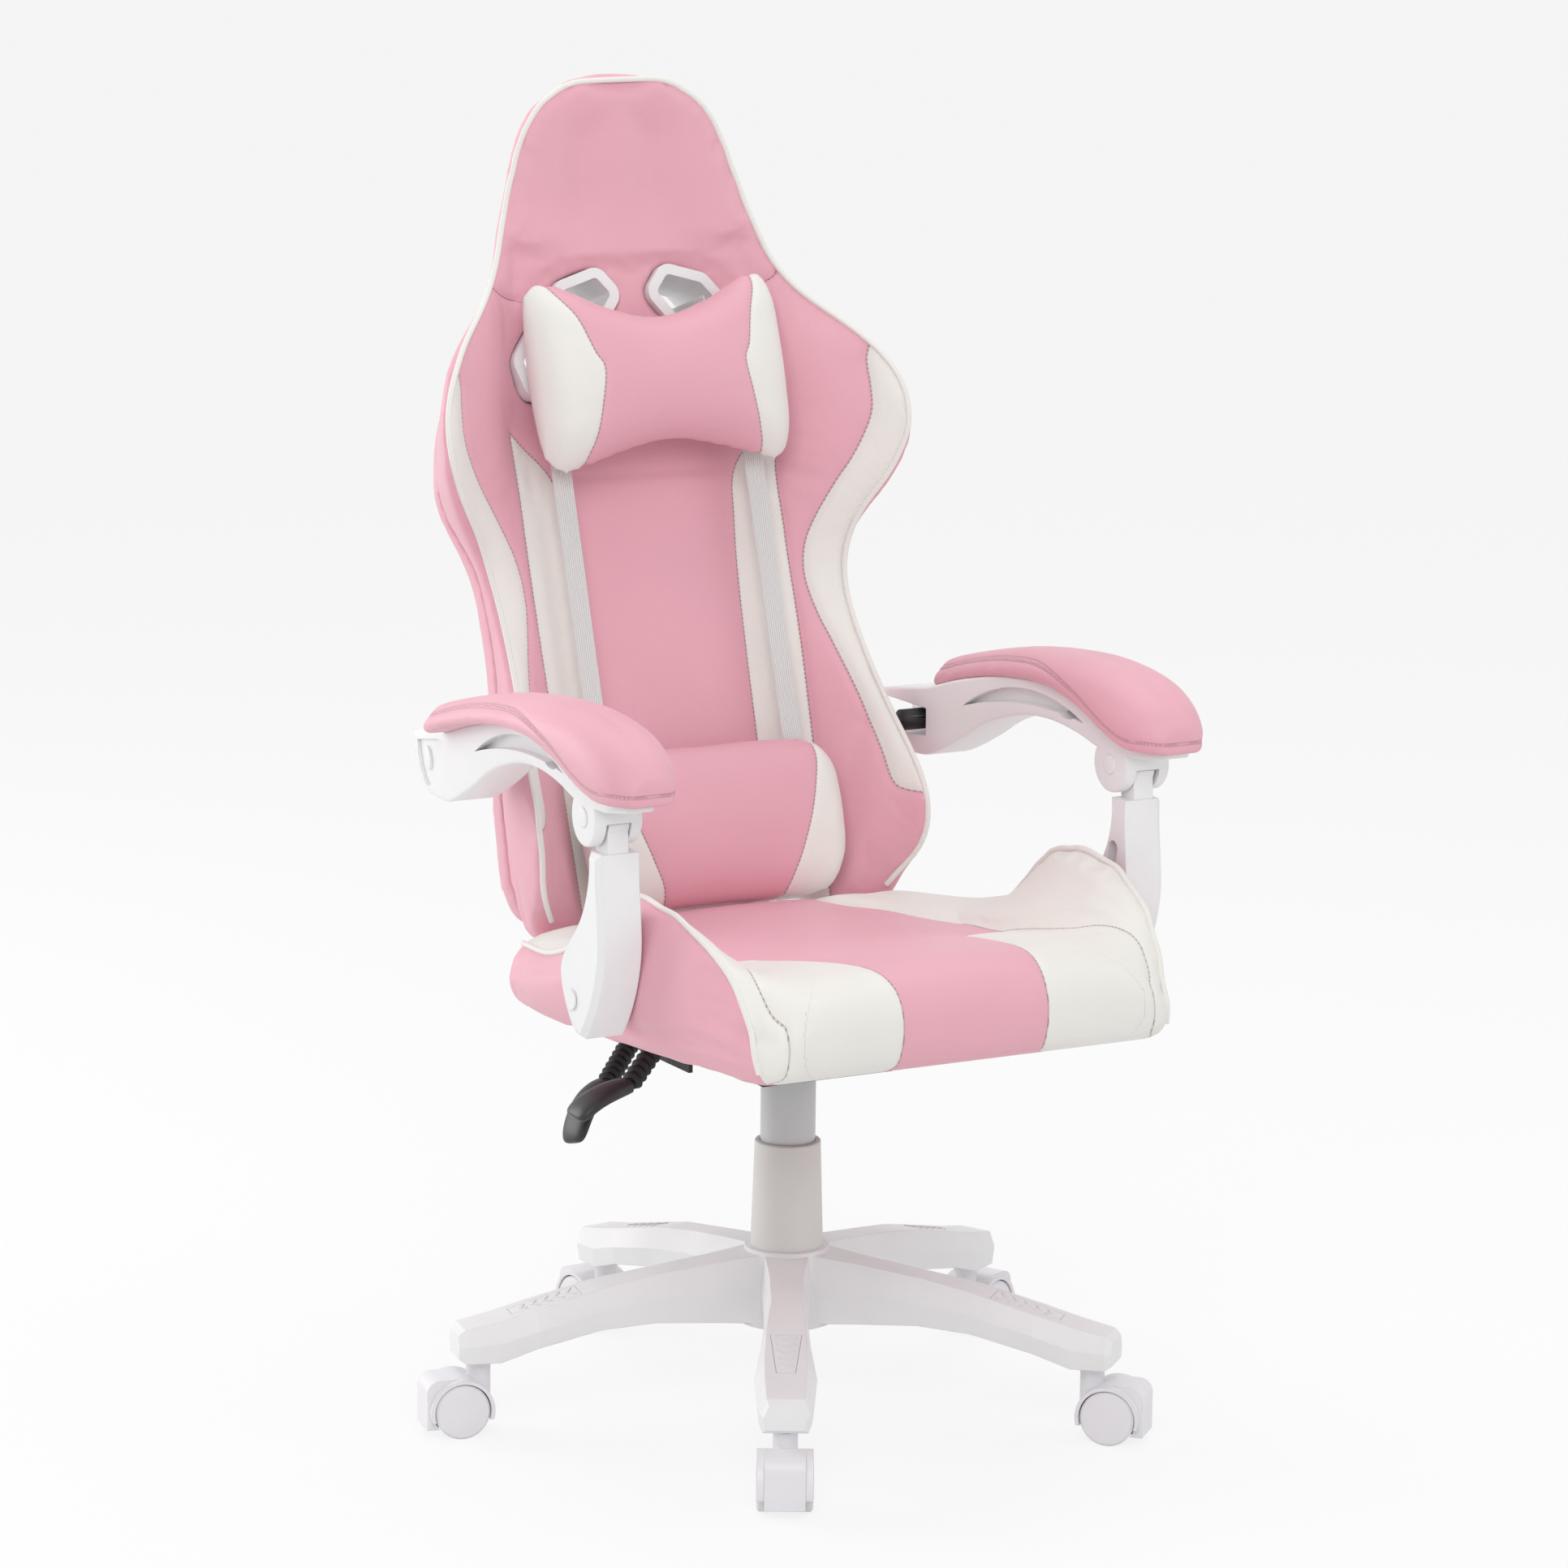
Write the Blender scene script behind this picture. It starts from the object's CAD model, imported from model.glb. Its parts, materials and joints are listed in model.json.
# %% [markdown]
# # A gaming chair, dressed in Blender
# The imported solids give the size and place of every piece. This lesson gives them their finish, and sews
# new leather covers over the foam. It starts with the frame, which is never moved.

# %% Load the frame
import json
from math import cos, radians, sin, tau

import bpy
import numpy as np
from mathutils import Matrix, Vector


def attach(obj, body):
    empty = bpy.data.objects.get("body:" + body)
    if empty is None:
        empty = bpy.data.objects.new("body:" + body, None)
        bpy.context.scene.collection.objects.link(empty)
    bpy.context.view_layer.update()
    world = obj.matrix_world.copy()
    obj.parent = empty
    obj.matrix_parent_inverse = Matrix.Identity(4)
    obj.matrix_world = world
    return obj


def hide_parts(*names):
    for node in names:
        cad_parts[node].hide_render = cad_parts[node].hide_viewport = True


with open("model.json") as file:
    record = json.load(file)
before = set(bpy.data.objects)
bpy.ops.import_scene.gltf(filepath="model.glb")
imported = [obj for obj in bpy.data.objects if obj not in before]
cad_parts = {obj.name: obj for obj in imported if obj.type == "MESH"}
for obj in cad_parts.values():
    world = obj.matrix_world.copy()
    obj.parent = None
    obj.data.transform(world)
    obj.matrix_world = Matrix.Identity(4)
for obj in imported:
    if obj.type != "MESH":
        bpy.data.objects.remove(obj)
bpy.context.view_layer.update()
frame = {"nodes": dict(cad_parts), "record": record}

MM = 0.001

# %% [markdown]
# ## Camera
# The photograph was taken from far away with a long lens, a little above the seat and to the sitter's
# right. A camera is a point, a direction and a lens, so those are what is set here.

# %% Camera
camera_turn = radians(-29.183)
camera_rise = radians(11.508)
camera_roll = radians(0.661)
camera_range = 5.555
camera_target = Vector((0, 0, 0.578))
camera_lens = 142.44
camera_shift = -0.005

toward_camera = Vector((
    sin(camera_turn) * cos(camera_rise), -cos(camera_turn) * cos(camera_rise), sin(camera_rise)))
level_right = Vector((cos(camera_turn), sin(camera_turn), 0))
level_up = toward_camera.cross(level_right)
picture_right = level_right * cos(camera_roll) + level_up * sin(camera_roll)
picture_up = level_up * cos(camera_roll) - level_right * sin(camera_roll)

bpy.ops.object.camera_add()
camera = bpy.context.object
camera.name = "camera"
camera.data.lens = camera_lens
camera.data.shift_x = camera_shift
camera.matrix_world = Matrix.Translation(camera_target + toward_camera * camera_range) @ Matrix(
    (picture_right, picture_up, toward_camera)).transposed().to_4x4()
bpy.context.scene.camera = camera
print("camera at", [round(x, 3) for x in camera.location])

# %% [markdown]
# ## Studio
# A pale floor that runs out past the picture, an even white world, and four large soft lamps. The floor
# shows nearly white to the camera but still takes the chair's shadow.

# %% Floor, world and lamps
floor_size = 80.0
white_share = 0.82
world_strength = 0.54
seen_sky_strength = 0.93
plain_white = (1, 1, 1, 1)
lamp_target = Vector((0, 0, 0.6))


def ray_is_seen(nodes, links):
    """A factor that is 1 for what the camera sees, straight or in a reflection."""
    path = nodes.new("ShaderNodeLightPath")
    seen = nodes.new("ShaderNodeMath")
    seen.operation = "MAXIMUM"
    links.new(path.outputs["Is Camera Ray"], seen.inputs[0])
    links.new(path.outputs["Is Glossy Ray"], seen.inputs[1])
    either = nodes.new("ShaderNodeMath")
    either.operation = "MAXIMUM"
    links.new(seen.outputs[0], either.inputs[0])
    links.new(path.outputs["Is Transmission Ray"], either.inputs[1])
    return either.outputs[0]


def floor_material():
    material = bpy.data.materials.new("studio_floor")
    material.use_nodes = True
    nodes, links = material.node_tree.nodes, material.node_tree.links
    shader = nodes["Principled BSDF"]
    shader.inputs["Base Color"].default_value = (0.86, 0.86, 0.86, 1)
    shader.inputs["Roughness"].default_value = 0.9
    glow = nodes.new("ShaderNodeEmission")
    glow.inputs["Strength"].default_value = 1.0
    share = nodes.new("ShaderNodeMath")
    share.operation = "MULTIPLY"
    share.inputs[1].default_value = white_share
    links.new(ray_is_seen(nodes, links), share.inputs[0])
    mix = nodes.new("ShaderNodeMixShader")
    links.new(share.outputs[0], mix.inputs[0])
    links.new(shader.outputs[0], mix.inputs[1])
    links.new(glow.outputs[0], mix.inputs[2])
    links.new(mix.outputs[0], nodes["Material Output"].inputs["Surface"])
    return material


bpy.ops.mesh.primitive_plane_add(size=floor_size)
floor = bpy.context.object
floor.name = "studio_floor"
floor.data.materials.append(floor_material())

world = bpy.data.worlds.new("studio")
bpy.context.scene.world = world
world.use_nodes = True
sky_nodes, sky_links = world.node_tree.nodes, world.node_tree.links
sky = sky_nodes["Background"]
seen_sky = sky_nodes.new("ShaderNodeBackground")
for background, strength in ((sky, world_strength), (seen_sky, seen_sky_strength)):
    background.inputs["Color"].default_value = plain_white
    background.inputs["Strength"].default_value = strength
sky_mix = sky_nodes.new("ShaderNodeMixShader")
sky_links.new(ray_is_seen(sky_nodes, sky_links), sky_mix.inputs[0])
sky_links.new(sky.outputs[0], sky_mix.inputs[1])
sky_links.new(seen_sky.outputs[0], sky_mix.inputs[2])
sky_links.new(sky_mix.outputs[0], sky_nodes["World Output"].inputs["Surface"])

lamps = [
    # name, place, size, power
    ("key_lamp", (-1.6, -2.6, 2.6), 1.8, 42.0),
    ("fill_lamp", (2.6, -1.8, 1.6), 2.2, 15.0),
    ("top_lamp", (0.2, 0.6, 3.2), 2.4, 26.0),
    ("back_lamp", (-2.2, 2.6, 1.3), 2.0, 48.0),
]
for lamp_name, place, size, power in lamps:
    bpy.ops.object.light_add(type="AREA", location=place)
    lamp = bpy.context.object
    lamp.name = lamp_name
    lamp.data.size = size
    lamp.data.energy = power
    lamp.rotation_euler = (lamp_target - Vector(place)).to_track_quat("-Z", "Y").to_euler()
bpy.context.scene.view_settings.view_transform = "Standard"
print("studio:", len(lamps), "lamps")

# %% [markdown]
# ## Helpers for shaping
# An operator acts on what is selected, so each helper clears the selection first. Points are read and
# written as arrays, because a cover has tens of thousands of them.

# %% Shaping helpers
merge_gap = 0.05 * MM
cloth_steps = 20
cloth_pressure = 4.0


def only(piece):
    """Select one object alone and make it active."""
    bpy.ops.object.select_all(action="DESELECT")
    piece.select_set(True)
    bpy.context.view_layer.objects.active = piece


def points_of(piece):
    flat = np.empty(len(piece.data.vertices) * 3)
    piece.data.vertices.foreach_get("co", flat)
    return flat.reshape(-1, 3)


def move_points(piece, points):
    piece.data.vertices.foreach_set("co", points.ravel())
    piece.data.update()


def normals_of(piece):
    flat = np.empty(len(piece.data.vertices) * 3, np.float32)
    piece.data.vertex_normals.foreach_get("vector", flat)
    return flat.reshape(-1, 3).astype(float)


def modify(piece, kind, **settings):
    """Add a modifier with these settings and apply it."""
    only(piece)
    modifier = piece.modifiers.new(kind.lower(), kind)
    for key, value in settings.items():
        setattr(modifier, key, value)
    bpy.ops.object.modifier_apply(modifier=modifier.name)


def remesh(piece, cell):
    modify(piece, "REMESH", mode="VOXEL", voxel_size=cell, use_smooth_shade=True)


def smooth(piece, rounds):
    modify(piece, "SMOOTH", factor=0.5, iterations=rounds)


def subdivide(piece):
    modify(piece, "SUBSURF", levels=1, render_levels=1)


def from_nodes(name, nodes):
    """One new object from copies of some CAD nodes, with their split edges merged."""
    bpy.ops.object.select_all(action="DESELECT")
    for node in nodes:
        copy = bpy.data.objects.new(name, frame["nodes"][node].data.copy())
        bpy.context.scene.collection.objects.link(copy)
        copy.select_set(True)
        bpy.context.view_layer.objects.active = copy
    if len(nodes) > 1:
        bpy.ops.object.join()
    piece = bpy.context.view_layer.objects.active
    piece.name = name
    piece.data.materials.clear()
    bpy.ops.object.mode_set(mode="EDIT")
    bpy.ops.mesh.select_all(action="SELECT")
    bpy.ops.mesh.remove_doubles(threshold=merge_gap)
    bpy.ops.object.mode_set(mode="OBJECT")
    return piece


def puff(piece, sewn, cap):
    """Blow the cover up like cloth, held where it is sewn, and cap how far any point moves."""
    start = points_of(piece)
    group = piece.vertex_groups.new(name="sewn")
    group.add([int(i) for i in np.nonzero(sewn)[0]], 1.0, "REPLACE")
    only(piece)
    cloth = piece.modifiers.new("cloth", "CLOTH")
    cloth.settings.quality = 4
    cloth.settings.mass = 0.3
    cloth.settings.use_pressure = True
    cloth.settings.uniform_pressure_force = cloth_pressure
    cloth.settings.vertex_group_mass = "sewn"
    cloth.settings.effector_weights.gravity = 0
    cloth.point_cache.frame_start = 1
    cloth.point_cache.frame_end = cloth_steps
    for step in range(1, cloth_steps + 1):
        bpy.context.scene.frame_set(step)
    bpy.ops.object.modifier_apply(modifier=cloth.name)
    bpy.context.scene.frame_set(1)
    travel = points_of(piece) - start
    length = np.linalg.norm(travel, axis=1, keepdims=True)
    move_points(piece, start + travel * np.minimum(1, cap / np.maximum(length, 1e-9)))
    piece.vertex_groups.clear()


def polygon_field(points, corners):
    """Signed distance to a closed outline, positive inside, and the run along it of the nearest place."""
    corners = np.array(corners, float)
    closed = np.vstack((corners, corners[:1]))
    signed, run = line_field(points, closed)
    inside = np.zeros(len(points), bool)
    for a, b in zip(closed[:-1], closed[1:]):
        edge = b - a
        crosses = (a[1] > points[:, 1]) != (b[1] > points[:, 1])
        height = np.where(edge[1] == 0, 1e-9, edge[1])
        inside ^= crosses & (points[:, 0] < a[0] + (points[:, 1] - a[1]) * edge[0] / height)
    return np.where(inside, np.abs(signed), -np.abs(signed)), run


def line_field(points, corners):
    """Signed distance to an open line, positive on its left, and the run along it."""
    corners = np.array(corners, float)
    best = np.full(len(points), 1e9)
    signed = np.full(len(points), 1e9)
    run = np.zeros(len(points))
    start = 0.0
    for a, b in zip(corners[:-1], corners[1:]):
        edge = b - a
        length = np.linalg.norm(edge)
        share = np.clip((points - a) @ edge / length ** 2, 0, 1)
        away = points - a - share[:, None] * edge
        gap = np.linalg.norm(away, axis=1)
        left = np.where(edge[0] * away[:, 1] - edge[1] * away[:, 0] >= 0, 1.0, -1.0)
        nearer = gap < best
        best[nearer] = gap[nearer]
        signed[nearer] = (gap * left)[nearer]
        run[nearer] = start + share[nearer] * length
        start += length
    return signed, run


def rounded(corners, steps=6):
    """A smooth open line through hand-placed corners."""
    corners = [np.array(c, float) for c in corners]
    ends = [2 * corners[0] - corners[1]] + corners + [2 * corners[-1] - corners[-2]]
    line = []
    for before, a, b, after in zip(ends, ends[1:], ends[2:], ends[3:]):
        for step in range(steps):
            t = step / steps
            line.append(0.5 * ((2 * a) + (b - before) * t + (2 * before - 5 * a + 4 * b - after) * t ** 2
                               + (3 * a - before - 3 * b + after) * t ** 3))
    return line + [corners[-1]]


def paint(piece, name, values):
    """Store one number per point for the material to read."""
    layer = piece.data.attributes.new(name, "FLOAT", "POINT")
    layer.data.foreach_set("value", np.asarray(values, np.float32))


def pipe(name, path, radius):
    """A round cord of leather along a line of points, turned into a mesh."""
    curve = bpy.data.curves.new(name, "CURVE")
    curve.dimensions = "3D"
    curve.bevel_depth = radius
    curve.bevel_resolution = 3
    curve.use_fill_caps = True
    spline = curve.splines.new("NURBS")
    spline.points.add(len(path) - 1)
    for point, place in zip(spline.points, path):
        point.co = (*place, 1)
    spline.use_endpoint_u = True
    spline.order_u = 4
    spline.resolution_u = 3
    piece = bpy.data.objects.new(name, curve)
    bpy.context.scene.collection.objects.link(piece)
    only(piece)
    bpy.ops.object.convert(target="MESH")
    bpy.ops.object.shade_smooth()
    return piece


print("shaping helpers ready")

# %% [markdown]
# ## Finishes
# Each material is built from nodes on Object coordinates, so that its grain has a real size. The leather
# also reads three numbers stored on its cover: how far a point is inside a white panel, how far from a sewn
# line, and how far along that line, which places the needle holes.

# %% Material helpers
pink = (0.79, 0.405, 0.48, 1)
warm_white = (0.83, 0.815, 0.775, 1)
seam_shade = (0.33, 0.16, 0.18, 1)
hole_shade = (0.22, 0.13, 0.14, 1)
webbing_white = (0.84, 0.835, 0.825, 1)


def new_material(name, color, roughness, **sockets):
    material = bpy.data.materials.new(name)
    material.use_nodes = True
    shader = material.node_tree.nodes["Principled BSDF"]
    shader.inputs["Base Color"].default_value = color
    shader.inputs["Roughness"].default_value = roughness
    for socket, value in sockets.items():
        shader.inputs[socket.replace("_", " ")].default_value = value
    return material, material.node_tree.nodes, material.node_tree.links, shader


def painted(nodes, name):
    """The number that a piece carries under this name at each point."""
    node = nodes.new("ShaderNodeAttribute")
    node.attribute_name = name
    return node.outputs["Fac"]


def object_place(nodes):
    return nodes.new("ShaderNodeTexCoord").outputs["Object"]


def reckon(nodes, links, operation, first, second=None, third=None):
    """One sum on numbers or sockets."""
    node = nodes.new("ShaderNodeMath")
    node.operation = operation
    for socket, value in zip(node.inputs, (first, second, third)):
        if value is None:
            continue
        if isinstance(value, (int, float)):
            socket.default_value = value
        else:
            links.new(value, socket)
    return node.outputs[0]


def noise(nodes, links, coordinates, scale, detail=3.0, roughness=0.5):
    node = nodes.new("ShaderNodeTexNoise")
    node.inputs["Scale"].default_value = scale
    node.inputs["Detail"].default_value = detail
    node.inputs["Roughness"].default_value = roughness
    links.new(coordinates, node.inputs["Vector"])
    return node.outputs["Fac"]


def between(nodes, links, value, low, high, out_low=0.0, out_high=1.0):
    """Carry a value from one range to another, held at its ends."""
    node = nodes.new("ShaderNodeMapRange")
    for socket, number in zip(node.inputs[1:5], (low, high, out_low, out_high)):
        socket.default_value = number
    links.new(value, node.inputs[0])
    return node.outputs[0]


def mixed(nodes, links, factor, first, second):
    node = nodes.new("ShaderNodeMix")
    node.data_type = "RGBA"
    links.new(factor, node.inputs["Factor"])
    for socket, value in ((node.inputs[6], first), (node.inputs[7], second)):
        if isinstance(value, tuple):
            socket.default_value = value
        else:
            links.new(value, socket)
    return node.outputs[2]


def bump(nodes, links, height, distance, strength, before=None):
    node = nodes.new("ShaderNodeBump")
    node.inputs["Distance"].default_value = distance
    node.inputs["Strength"].default_value = strength
    links.new(height, node.inputs["Height"])
    if before is not None:
        links.new(before, node.inputs["Normal"])
    return node.outputs[0]


print("colours and node helpers ready")

# %% Leather
pores_per_metre = 620
panel_edge = 0.00025
groove_width = 0.0011
needle_hole = 0.00062
hole_share = 0.42


def leather(name, panels=True, color=pink, stitch_pitch=0.0042, mark=1.0):
    material, nodes, links, shader = new_material(
        name, color, 0.46, Specular_IOR_Level=0.42, Sheen_Weight=0.12, Sheen_Roughness=0.45)
    place = object_place(nodes)
    cells = nodes.new("ShaderNodeTexVoronoi")
    cells.feature = "DISTANCE_TO_EDGE"
    cells.inputs["Scale"].default_value = pores_per_metre
    links.new(place, cells.inputs["Vector"])
    grain = between(nodes, links, cells.outputs["Distance"], 0.0, 0.22)
    creases = noise(nodes, links, place, 42, 4.0, 0.6)
    cloud = noise(nodes, links, place, 7, 2.0)
    soft = bump(nodes, links, creases, 0.0016, 0.16)
    fine = bump(nodes, links, grain, 0.00012, 0.35, soft)
    tone = between(nodes, links, cloud, 0.3, 0.7, 0.965, 1.02)
    base = color
    normal = fine
    if panels:
        inside = between(nodes, links, painted(nodes, "white"), -panel_edge, panel_edge)
        base = mixed(nodes, links, inside, pink, warm_white)
        distance = reckon(nodes, links, "ABSOLUTE", painted(nodes, "seam"))
        groove = between(nodes, links, distance, 0.0, groove_width)
        stitches = reckon(nodes, links, "DIVIDE", painted(nodes, "run"), stitch_pitch)
        hole = reckon(nodes, links, "LESS_THAN", reckon(nodes, links, "FRACT", stitches), hole_share)
        near = reckon(nodes, links, "LESS_THAN", distance, needle_hole)
        pit = reckon(nodes, links, "MULTIPLY", hole, near)
        seam_dark = between(nodes, links, groove, 0.0, 1.0, 0.34 * mark, 0.0)
        dark = mixed(nodes, links, seam_dark, base, seam_shade)
        base = mixed(nodes, links, reckon(nodes, links, "MULTIPLY", pit, 0.55 * mark), dark, hole_shade)
        normal = bump(nodes, links, groove, 0.0008, 0.8, fine)
    shade = nodes.new("ShaderNodeVectorMath")
    shade.operation = "SCALE"
    if isinstance(base, tuple):
        shade.inputs[0].default_value = base[:3]
    else:
        links.new(base, shade.inputs[0])
    links.new(tone, shade.inputs["Scale"])
    links.new(shade.outputs[0], shader.inputs["Base Color"])
    links.new(between(nodes, links, grain, 0.0, 1.0, 0.55, 0.43), shader.inputs["Roughness"])
    links.new(normal, shader.inputs["Normal"])
    return material


panel_leather = leather("panel_leather")
pad_leather = leather("pad_leather", stitch_pitch=0.003, mark=0.5)
piping_leather = leather("piping_leather", False, warm_white)
pink_leather = leather("pink_leather", False, pink)
print("leather: pink and white panels, the arm pads, plain white piping and plain pink")

# %% Plastics, metals and the rest


def moulded(name, color, roughness=0.42, grain=900, depth=0.00006, edge=0.0012):
    """Moulded plastic: a fine spark-eroded grain, a little unevenness, and edges never quite sharp."""
    material, nodes, links, shader = new_material(name, color, roughness, Specular_IOR_Level=0.4)
    place = object_place(nodes)
    fine = noise(nodes, links, place, grain, 2.0)
    broad = noise(nodes, links, place, 14, 3.0)
    soft_edge = nodes.new("ShaderNodeBevel")
    soft_edge.samples = 6
    soft_edge.inputs["Radius"].default_value = edge
    uneven = bump(nodes, links, broad, 0.0004, 0.1, soft_edge.outputs[0])
    links.new(bump(nodes, links, fine, depth, 0.5, uneven), shader.inputs["Normal"])
    gloss = between(nodes, links, broad, 0.3, 0.7, roughness - 0.05, roughness + 0.06)
    links.new(gloss, shader.inputs["Roughness"])
    shade = mixed(nodes, links, between(nodes, links, broad, 0.25, 0.75), color,
                  tuple(0.955 * c for c in color[:3]) + (1,))
    links.new(shade, shader.inputs["Base Color"])
    return material


def metal(name, color, roughness, metallic=1.0, grain=260):
    material, nodes, links, shader = new_material(name, color, roughness, Metallic=metallic)
    place = object_place(nodes)
    fine = noise(nodes, links, place, grain, 4.0)
    gloss = between(nodes, links, fine, 0.25, 0.75, roughness - 0.07, roughness + 0.08)
    links.new(gloss, shader.inputs["Roughness"])
    links.new(bump(nodes, links, fine, 0.00005, 0.4), shader.inputs["Normal"])
    return material


def plywood_grain(name):
    material, nodes, links, shader = new_material(name, (0.5, 0.34, 0.2, 1), 0.7)
    place = object_place(nodes)
    stretch = nodes.new("ShaderNodeMapping")
    stretch.inputs["Scale"].default_value = (60, 4, 120)
    links.new(place, stretch.inputs["Vector"])
    streaks = noise(nodes, links, stretch.outputs[0], 1.0, 4.0)
    wood = mixed(nodes, links, streaks, (0.42, 0.27, 0.15, 1), (0.62, 0.45, 0.28, 1))
    links.new(wood, shader.inputs["Base Color"])
    return material


finishes = {
    "white_plastic": moulded("white_plastic", (0.86, 0.865, 0.87, 1)),
    "sleeve_plastic": moulded("sleeve_plastic", (0.74, 0.735, 0.71, 1), 0.5),
    "caster_plastic": moulded("caster_plastic", (0.85, 0.84, 0.87, 1), 0.36),
    "grey_tube": metal("grey_tube", (0.58, 0.585, 0.59, 1), 0.42, 0.25),
    "steel": metal("steel", (0.56, 0.56, 0.57, 1), 0.34),
    "black_steel": metal("black_steel", (0.022, 0.022, 0.024, 1), 0.46, 0.2),
    "black_plastic": moulded("black_plastic", (0.03, 0.03, 0.033, 1), 0.38, 700, 0.0001, 0.0018),
    "black_rubber": moulded("black_rubber", (0.02, 0.02, 0.021, 1), 0.62, 500, 0.00012, 0.0008),
    "plywood": plywood_grain("plywood"),
}


def coat(node, finish):
    """Give a CAD node's mesh its finish."""
    mesh = frame["nodes"][node].data
    mesh.materials.clear()
    mesh.materials.append(finish)


for subpart in frame["record"]["subparts"]:
    if subpart["material_slot"] in finishes:
        coat(subpart["node"], finishes[subpart["material_slot"]])
coat("arm_lower_studs", finishes["white_plastic"])
print("finishes:", len(finishes), "for the rigid pieces")

# %% [markdown]
# ## Skins over sections
# Foam and stuffed pieces are easiest to describe by their cross-sections, as a boat builder sets up frames
# before planking. The helpers draw an arc through three points, stretch a closed skin over a row of
# sections, and cut or join blocks, which is how the moulded arms are made.

# %% Section helpers


def arc(a, b, c, steps=8):
    """Points on the circle through three points, from the first up to the last, which is left out."""
    a, b, c = (np.array(p, float) for p in (a, b, c))
    ab, ac = b - a, c - a
    cross = 2 * (ab[0] * ac[1] - ab[1] * ac[0])
    if abs(cross) < 1e-6:
        return straight(a, c, steps)
    ab_square, ac_square = ab @ ab, ac @ ac
    offset = (ac[1] * ab_square - ab[1] * ac_square, ab[0] * ac_square - ac[0] * ab_square)
    centre = a + np.array(offset) / cross
    angles = [np.arctan2(*(p - centre)[::-1]) for p in (a, b, c)]
    turn = (angles[2] - angles[0]) % tau
    if (angles[1] - angles[0]) % tau > turn:
        turn -= tau
    radius = np.linalg.norm(a - centre)
    spread = [angles[0] + turn * i / steps for i in range(steps)]
    return [centre + radius * np.array((cos(angle), sin(angle))) for angle in spread]


def straight(a, b, steps=6):
    a, b = np.array(a, float), np.array(b, float)
    return [a + (b - a) * i / steps for i in range(steps)]


def outwards(piece):
    """Turn every face of a closed piece outwards."""
    only(piece)
    bpy.ops.object.mode_set(mode="EDIT")
    bpy.ops.mesh.select_all(action="SELECT")
    bpy.ops.mesh.normals_make_consistent(inside=False)
    bpy.ops.object.mode_set(mode="OBJECT")


def skin(name, rings):
    """A closed mesh over a row of rings, in metres, that all have the same number of points."""
    count = len(rings[0])
    points = [tuple(p) for ring in rings for p in ring]
    faces = []
    for i in range(len(rings) - 1):
        for j in range(count):
            k = (j + 1) % count
            faces.append((i * count + j, i * count + k, (i + 1) * count + k, (i + 1) * count + j))
    faces.append(tuple(range(count)))
    faces.append(tuple(range((len(rings) - 1) * count, len(rings) * count)))
    mesh = bpy.data.meshes.new(name)
    mesh.from_pydata(points, [], faces)
    piece = bpy.data.objects.new(name, mesh)
    bpy.context.scene.collection.objects.link(piece)
    outwards(piece)
    return piece


def block(name, outline, low_x, high_x):
    """A side-view outline in millimetres, carried straight across from one place to another."""
    return skin(name, [[(x * MM, y * MM, z * MM) for y, z in outline] for x in (low_x, high_x)])


def combine(piece, other, operation):
    """Cut another block out of a piece, or join it on, and clear the other away."""
    modify(piece, "BOOLEAN", object=other, operation=operation, solver="EXACT")
    bpy.data.objects.remove(other)


def mirrored_ring(half, top):
    """A whole section from its right half, which starts on the middle line, and its top on that line."""
    return half + [np.array(top, float)] + [np.array((-p[0], p[1])) for p in reversed(half[1:])]


def soft_step(values):
    """Ease from 0 to 1."""
    values = np.clip(values, 0, 1)
    return values * values * (3 - 2 * values)


def dress(piece, material, body, slot, *nodes):
    """Give a piece its material, the body it rides on, its slot and the nodes that it stands for."""
    piece.data.materials.clear()
    piece.data.materials.append(material)
    if nodes:
        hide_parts(*nodes)
    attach(piece, body)
    print(piece.name + ":", len(piece.data.polygons), "faces")


def blocky(piece, angle=35):
    """Shade a moulded piece smooth but for its real edges."""
    only(piece)
    bpy.ops.object.shade_smooth_by_angle(angle=radians(angle))


print("section helpers ready")


# %% [markdown]
# ## The back's cover
# On the real chair one sewn cover wraps the foam of the centre, the head and both wings. So the four foam
# solids are copied, joined and remeshed into one skin. The middle is then sunk between the wings and the
# head is dished, the skin is blown up like cloth between its seams, and its panels are painted.

# %% Back frame of reference
back_lean = radians(17.5)
back_foot = np.array((0, 0.150, 0.460))
back_up = np.array((0, sin(back_lean), cos(back_lean)))
back_out = np.array((0, -cos(back_lean), sin(back_lean)))


def to_back(points):
    """Sideways, up the back and forward of it, in millimetres."""
    rest = points - back_foot
    return np.stack((rest[:, 0], rest @ back_up, rest @ back_out), 1) / MM


def from_back(points):
    points = np.asarray(points, float) * MM
    return back_foot + points[:, :1] * (1, 0, 0) + points[:, 1:2] * back_up + points[:, 2:] * back_out


def column(rows, place):
    return [row[place] for row in rows]


print("back's foot at", back_foot)

# %% Lines and depths of the back
cover_cell = 5.5 * MM
back_edge = [
    # half width, place up the back, forward reach of the rim, from the seat to the crown
    (175, -21, 12), (196, 8, 50), (200, 55, 70), (194, 115, 52), (184, 185, 27), (180, 260, 8),
    (194, 320, 17), (222, 362, 48), (238, 405, 67), (230, 455, 66), (192, 512, 40), (152, 560, 18),
    (136, 600, 13), (125, 640, 16), (113, 680, 22), (97, 715, 28), (73, 738, 33), (34, 751, 37),
]
band_edge = rounded([
    (216, 487), (210, 468), (211, 445), (211, 422), (206, 404), (194, 380), (180, 360), (162, 332),
    (151, 310), (146, 288), (146, 265), (151, 237), (158, 209), (169, 157), (176, 105), (179, 73),
    (187, 61), (206, 53),
])
stripe_outer = rounded([(140, 428), (134, 380), (134, 325), (134, 228), (132, 128), (128, -30)])
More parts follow.
